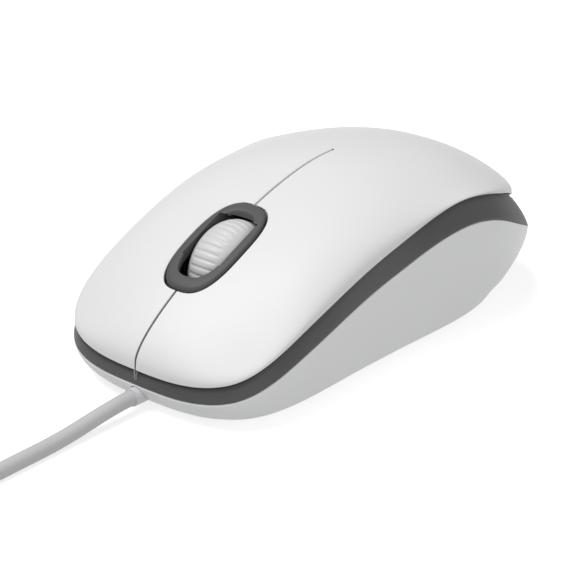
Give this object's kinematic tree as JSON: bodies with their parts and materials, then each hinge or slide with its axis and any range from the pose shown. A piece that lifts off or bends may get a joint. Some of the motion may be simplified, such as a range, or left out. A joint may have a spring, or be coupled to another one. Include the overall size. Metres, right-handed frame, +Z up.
{
  "type": "computer mouse",
  "caption": "Corded optical mouse with a white case, a dark trim band, click keys, a pressable scroll wheel in an oval bezel and a coiled USB cable.",
  "frame": {"origin": "on the table, under the middle of the case's bounding box", "axes": "+Z up, -Y towards the nose and the cable, +Y towards the palm end, +X towards the user's left hand side"},
  "size_m": [0.1024, 0.2025, 0.038],
  "materials": {
    "shell_white": "satin white moulding",
    "band_grey": "fine matt dark grey",
    "base_white": "satin white moulding",
    "bezel_grey": "fine matt dark grey",
    "wheel_silver": "pale silver-grey ribbed rubber",
    "hub_plastic": "matt",
    "steel": "bright",
    "black_plastic": "matt black",
    "board_green": "solder mask green",
    "plunger_red": "matt",
    "clear_plastic": "clear",
    "led_red": "tinted",
    "capacitor_sleeve": "shrink sleeve",
    "header_nylon": "natural nylon",
    "wire_jacket": "coloured jackets",
    "glide_grey": "smooth low-friction",
    "label_grey": "blank printed-film grey",
    "cable_jacket": "satin light grey",
    "plug_plastic": "satin light grey",
    "plug_steel": "plated",
    "tongue_white": "matt",
    "contact_gold": "gold plated",
    "tie_black": "soft black"
  },
  "bodies": {
    "case": {"palm_cover": "shell_white", "trim_band": "band_grey", "base_shell": "base_white", "wheel_bezel": "bezel_grey", "wheel_guide": "black_plastic", "carriage_spring": "steel", "circuit_board": "board_green", "left_switch": "black_plastic", "right_switch": "black_plastic", "wheel_switch": "steel", "light_emitter": "clear_plastic", "light_detector": "black_plastic", "sensor_chip": "black_plastic", "sensor_lens": "clear_plastic", "sensor_led": "led_red", "led_clip": "black_plastic", "capacitor": "capacitor_sleeve", "crystal_can": "steel", "cable_header": "header_nylon", "cable_connector": "header_nylon", "lead_wires": "wire_jacket", "front_glide": "glide_grey", "rear_glide": "glide_grey", "case_screw": "steel", "rating_label": "label_grey", "strain_relief": "cable_jacket", "cable": "cable_jacket", "cable_coil": "cable_jacket", "plug_lead": "cable_jacket", "plug_body": "plug_plastic", "plug_shell": "plug_steel", "plug_tongue": "tongue_white", "plug_contacts": "contact_gold", "cable_tie": "tie_black"},
    "left_key": {"left_button": "shell_white"},
    "right_key": {"right_button": "shell_white"},
    "left_plunger": {"left_plunger": "plunger_red"},
    "right_plunger": {"right_plunger": "plunger_red"},
    "wheel_plunger": {"wheel_plunger": "black_plastic"},
    "carriage": {"wheel_carriage": "black_plastic"},
    "wheel": {"wheel_tyre": "wheel_silver", "wheel_hub": "hub_plastic", "wheel_axle": "steel"}
  },
  "joints": [
    {"name": "left_key_press", "type": "hinge", "parent": "case", "child": "left_key", "pos_m": [0, 0.005, 0.0365], "axis": [1, 0, 0], "range_deg": [0, 0.6], "stiffness_Nm_per_rad": 6, "springref_deg": -2.86},
    {"name": "right_key_press", "type": "hinge", "parent": "case", "child": "right_key", "pos_m": [0, 0.005, 0.0365], "axis": [1, 0, 0], "range_deg": [0, 0.6], "stiffness_Nm_per_rad": 6, "springref_deg": -2.86},
    {"name": "left_plunger_press", "type": "slide", "parent": "case", "child": "left_plunger", "axis": [0, 0, -1], "range_m": [0, 0.0005]},
    {"name": "right_plunger_press", "type": "slide", "parent": "case", "child": "right_plunger", "axis": [0, 0, -1], "range_m": [0, 0.0005]},
    {"name": "wheel_press", "type": "slide", "parent": "case", "child": "carriage", "axis": [0, 0, -1], "range_m": [0, 0.0005], "stiffness_N_per_m": 1500, "springref_m": -0.0003, "deforming": ["carriage_spring"]},
    {"name": "wheel_plunger_press", "type": "slide", "parent": "case", "child": "wheel_plunger", "axis": [0, 0, -1], "range_m": [0, 0.0005]},
    {"name": "wheel_spin", "type": "hinge", "parent": "carriage", "child": "wheel", "pos_m": [0, -0.0272, 0.0203], "axis": [1, 0, 0], "continuous": true}
  ],
  "couplings": [
    {"joint": "left_plunger_press", "follows": "left_key_press", "m_per_rad": 0.043},
    {"joint": "right_plunger_press", "follows": "right_key_press", "m_per_rad": 0.043},
    {"joint": "wheel_plunger_press", "follows": "wheel_press", "ratio": 1}
  ]
}
